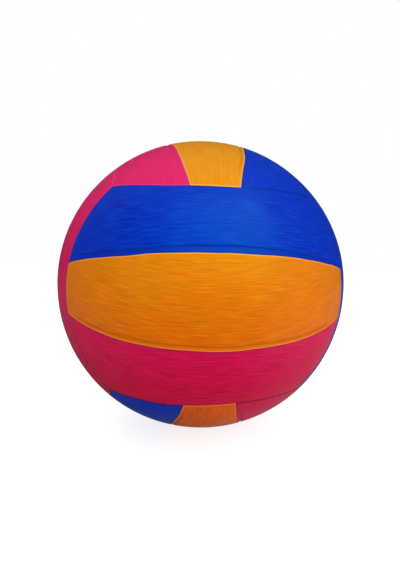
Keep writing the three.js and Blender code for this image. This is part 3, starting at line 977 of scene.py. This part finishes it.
# How bright the mirrored studio is, by how straight backwards one looks
DIM_STUDIO = {"From Min": 0.9, "From Max": 1, "To Min": 0.015, "To Max": 0.35}
world = bpy.data.worlds.new("white studio")
world.use_nodes = True
world.node_tree.nodes.clear()
sky = partial(add_node, world.node_tree)
path = sky("ShaderNodeLightPath", output=None)
backwards = sky("ShaderNodeSeparateXYZ", [sky("ShaderNodeTexCoord", output="Generated")], output="Y")
mirrored = sky(RANGE, {"Value": backwards, **DIM_STUDIO})
glossy = sky(MATH, [path["Is Glossy Ray"], path["Is Transmission Ray"]], "MAXIMUM")
seen = sky(MIX, {0: glossy, 2: WORLD_LIGHT, 3: mirrored})
seen = sky(MIX, {0: path["Is Camera Ray"], 2: seen, 3: 1})
background = sky("ShaderNodeBackground", {"Color": (1, 1, 1, 1), "Strength": seen})
sky("ShaderNodeOutputWorld", [background], output=None)
bpy.context.scene.world = world
print("the world lights the ball at", WORLD_LIGHT)

# %% [markdown]
# ## Lamps
# A large key lamp stands above and in front. One overhead and one behind light the top and the back of the
# ball. Two fills open the shadows at the sides, and two small cards do it low down. All of these only light,
# because seven mirror images on one ball would look busy. The window is the other way round: it is only
# mirrored, and it puts the broad soft highlight on the upper strip.

# %% Softboxes
SOFTBOXES = { # place and size in m, power in W
    "key": ((0.55, -0.75, 0.85), 1.3, 9.5),
    "window": ((0.17, -0.92, 0.65), 1.5, 7),
    "overhead": ((-0.1, 0.35, 1.2), 1.6, 8.3),
    "left fill": ((-0.6, -0.7, 0), 0.6, 2.8),
    "right fill": ((0.7, -0.6, -0.05), 0.6, 2.3),
    "right card": ((0.12, -0.1, -0.1), 0.12, 0.05),
    "low card": ((0.035, -0.03, -0.104), 0.11, 0.013),
    "rear fill": ((-0.4, 0.9, 0.3), 1.2, 6),
}
for name, (place, size, power) in SOFTBOXES.items():
    lamp_data = bpy.data.lights.new(name, "AREA")
    lamp_data.shape = "SQUARE"
    lamp_data.size = size
    lamp_data.energy = power
    lamp = bpy.data.objects.new(name, lamp_data)
    lamp.location = place
    lamp.visible_diffuse = name != "window"
    lamp.visible_glossy = name == "window"
    lamp.rotation_mode = "QUATERNION"
    lamp.rotation_quaternion = (-Vector(place)).to_track_quat("-Z", "Y")
    bpy.context.scene.collection.objects.link(lamp)
print("lamps:", list(SOFTBOXES))

# %% [markdown]
# ## The floor
# A plain white sheet lies under the ball. For the camera, a little glow lifts its grey to the white of the
# background, and the shadow under the ball still shows in it. The light that it throws back comes from a
# paler grey. A mirrored white sheet would wash out the lower strips, so shiny surfaces see it darker,
# more so at the left, with only a patch under the ball that glows.

# %% Floor
FLOOR_SIZE = 6 # m
half_floor = FLOOR_SIZE / 2
floor_height = cad_box[0].z
corners = [(-half_floor, -half_floor), (half_floor, -half_floor), (half_floor, half_floor),
           (-half_floor, half_floor)]
floor_mesh = bpy.data.meshes.new("floor")
floor_mesh.from_pydata([(x, y, floor_height) for x, y in corners], [], [(0, 1, 2, 3)])
floor = new_piece("floor", floor_mesh)
print("the floor lies at", round(floor_height / MM, 2), "mm")

# %% Glow of the paper
FLOOR_GLOW = 0.76 # towards the camera
PATCH_OFFSET = 0.03 # m, from the ball's lowest point to the right
# How much of the glow is mirrored, by the distance from there in m
PATCH = {"From Min": 0.04, "From Max": 0.1, "To Min": 0.13, "To Max": 0.03}
paper, sheet = new_material("white paper")
path = sheet("ShaderNodeLightPath", output=None)
place = sheet("ShaderNodeTexCoord", output="Object")
away = sheet(VECTOR_MATH, [place, (PATCH_OFFSET, 0, floor_height)], "DISTANCE", output="Value")
patch = sheet(RANGE, {"Value": away, **PATCH})
shown = sheet(MATH, [path["Is Glossy Ray"], patch], "MULTIPLY")
shown = sheet(MATH, [shown, path["Is Camera Ray"]], "MAXIMUM")
shown = sheet(MATH, [shown, path["Is Transmission Ray"]], "MAXIMUM")
glow = sheet(MATH, [shown, FLOOR_GLOW], "MULTIPLY")
print("the paper glows at", FLOOR_GLOW)

# %% Colour of the paper
SHADE_REACH = 0.1 # m to both sides of the ball, where the mirrored sheet goes from shaded to bright
PAPER = {"seen": "#BABABA", "bouncing": "#DCDCDC", "mirrored left": "#3A3A3A", "mirrored right": "#646464"}
tint = {use: linear(colour) for use, colour in PAPER.items()}
across = sheet("ShaderNodeSeparateXYZ", [place], output="X")
to_right = sheet(RANGE, {"Value": across, "From Min": -SHADE_REACH, "From Max": SHADE_REACH})
mirrored = sheet(MIX, {0: to_right, 6: tint["mirrored left"], 7: tint["mirrored right"]}, **BLEND)
lighting = sheet(MIX, {0: path["Is Glossy Ray"], 6: tint["bouncing"], 7: mirrored}, **BLEND)
paper_colour = sheet(MIX, {0: path["Is Camera Ray"], 6: lighting, 7: tint["seen"]}, **BLEND)
matt = sheet("ShaderNodeBsdfDiffuse", {"Color": paper_colour})
glowing = sheet("ShaderNodeEmission", {"Strength": glow})
both = sheet("ShaderNodeAddShader", [matt, glowing])
sheet("ShaderNodeOutputMaterial", {"Surface": both}, output=None)
floor_mesh.materials.append(paper)
floor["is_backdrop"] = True
print("the paper has", len(paper.node_tree.nodes), "nodes")

# %% [markdown]
# The dressed ball has to stay inside the construction's box. Both boxes are measured and printed.

# %% Sizes and finish
visual_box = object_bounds()
sizes = {"cad": [list(corner) for corner in cad_box], "visual": [list(corner) for corner in visual_box]}
print("sizes:", sizes)
